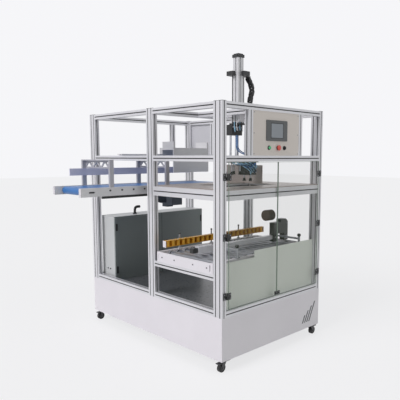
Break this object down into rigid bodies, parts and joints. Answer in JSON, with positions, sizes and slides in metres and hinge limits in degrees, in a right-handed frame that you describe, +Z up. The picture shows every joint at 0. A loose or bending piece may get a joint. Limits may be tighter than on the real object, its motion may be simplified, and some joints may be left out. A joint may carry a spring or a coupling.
{
  "type": "cartoning machine",
  "caption": "Open-frame cartoning machine on a castored sheet-metal base, with belt infeed, roller carton conveyor, pick lift, control panel and clear front doors.",
  "frame": {"origin": "on the floor under the middle of the machine's whole box, infeed conveyor included", "axes": "+X to the right along the front, +Y from the front doors to the back, +Z up"},
  "size_m": [1.6, 1.616, 2.185],
  "materials": {
    "aluminium_profile": "anodised, satin",
    "beige_panel": "fine texture coat",
    "black_metal": "black anodised",
    "black_plastic": "moulded",
    "black_rubber": "worn tread",
    "blue_belt": "smooth conveyor belt",
    "blue_tube": "soft tubing",
    "buttons": "moulded buttons",
    "cabinet_grey": "textured coat",
    "chrome_rod": "ground rod",
    "clear_sheet": "clear acrylic sheet",
    "dark_deck": "dark coated sheet",
    "dark_steel": "black coated",
    "grey_panel": "satin sheet",
    "motor_grey": "painted",
    "rail_grey": "satin plate",
    "screen": "dark bezel and glass",
    "stainless": "brushed",
    "steel": "turned",
    "white_sheet": "powder coated, satin",
    "yellow_guide": "nylon rollers in a yellow channel"
  },
  "bodies": {
    "frame": {"base_deck": "dark_deck", "base_frame": "dark_steel", "base_skirt": "white_sheet", "belt_bridges": "rail_grey", "belt_drive": "motor_grey", "belt_rollers": "steel", "cabinet_conduit": "black_plastic", "cabinet_door": "cabinet_grey", "carton_frame": "white_sheet", "carton_rollers": "steel", "collation_table": "stainless", "control_panel": "beige_panel", "electrical_cabinet": "white_sheet", "fixed_hinge_leaves": "black_plastic", "frame_posts": "aluminium_profile", "guide_bar": "rail_grey", "guide_rollers": "yellow_guide", "guide_stands": "steel", "infeed_belt": "blue_belt", "infeed_rails": "rail_grey", "inner_panel": "white_sheet", "lift_beams": "aluminium_profile", "lower_rails": "aluminium_profile", "mast": "rail_grey", "product_pusher": "rail_grey", "push_buttons": "buttons", "roller_guide": "yellow_guide", "side_drive": "black_metal", "side_drive_beam": "aluminium_profile", "table_beams": "aluminium_profile", "top_rails": "aluminium_profile", "touch_screen": "screen", "upper_posts": "aluminium_profile", "upper_rails": "aluminium_profile", "upper_side_panel": "grey_panel"},
    "left_door": {"left_door_panel": "clear_sheet", "left_door_fittings": "black_plastic"},
    "right_door": {"right_door_panel": "clear_sheet", "right_door_fittings": "black_plastic"},
    "lift": {"carriage": "black_metal", "valve_block": "black_metal", "lift_rods": "chrome_rod", "pick_head": "black_metal", "suction_cups": "black_rubber", "air_tubes": "blue_tube", "energy_chain": "black_plastic"},
    "front_left_castor": {"front_left_fork": "dark_steel"},
    "front_left_castor_wheel": {"front_left_wheel": "black_rubber"},
    "front_right_castor": {"front_right_fork": "dark_steel"},
    "front_right_castor_wheel": {"front_right_wheel": "black_rubber"},
    "back_left_castor": {"back_left_fork": "dark_steel"},
    "back_left_castor_wheel": {"back_left_wheel": "black_rubber"},
    "back_right_castor": {"back_right_fork": "dark_steel"},
    "back_right_castor_wheel": {"back_right_wheel": "black_rubber"}
  },
  "joints": [
    {"name": "left_door_hinge", "type": "hinge", "parent": "frame", "child": "left_door", "pos_m": [-0.2585, -0.801, 0.915], "axis": [0, 0, -1], "range_deg": [0, 110]},
    {"name": "right_door_hinge", "type": "hinge", "parent": "frame", "child": "right_door", "pos_m": [0.7585, -0.801, 0.915], "axis": [0, 0, 1], "range_deg": [0, 110]},
    {"name": "lift_slide", "type": "slide", "parent": "frame", "child": "lift", "axis": [0, 0, -1], "range_m": [0, 0.23]},
    {"name": "front_left_swivel", "type": "hinge", "parent": "frame", "child": "front_left_castor", "pos_m": [-0.25, -0.754, 0.079], "axis": [0, 0, 1], "continuous": true},
    {"name": "front_left_roll", "type": "hinge", "parent": "front_left_castor", "child": "front_left_castor_wheel", "pos_m": [-0.268, -0.754, 0.03], "axis": [0, 1, 0], "continuous": true},
    {"name": "front_right_swivel", "type": "hinge", "parent": "frame", "child": "front_right_castor", "pos_m": [0.75, -0.754, 0.079], "axis": [0, 0, 1], "continuous": true},
    {"name": "front_right_roll", "type": "hinge", "parent": "front_right_castor", "child": "front_right_castor_wheel", "pos_m": [0.768, -0.754, 0.03], "axis": [0, 1, 0], "continuous": true},
    {"name": "back_left_swivel", "type": "hinge", "parent": "frame", "child": "back_left_castor", "pos_m": [-0.25, 0.77, 0.079], "axis": [0, 0, 1], "continuous": true},
    {"name": "back_left_roll", "type": "hinge", "parent": "back_left_castor", "child": "back_left_castor_wheel", "pos_m": [-0.268, 0.77, 0.03], "axis": [0, 1, 0], "continuous": true},
    {"name": "back_right_swivel", "type": "hinge", "parent": "frame", "child": "back_right_castor", "pos_m": [0.75, 0.77, 0.079], "axis": [0, 0, 1], "continuous": true},
    {"name": "back_right_roll", "type": "hinge", "parent": "back_right_castor", "child": "back_right_castor_wheel", "pos_m": [0.768, 0.77, 0.03], "axis": [0, 1, 0], "continuous": true}
  ]
}
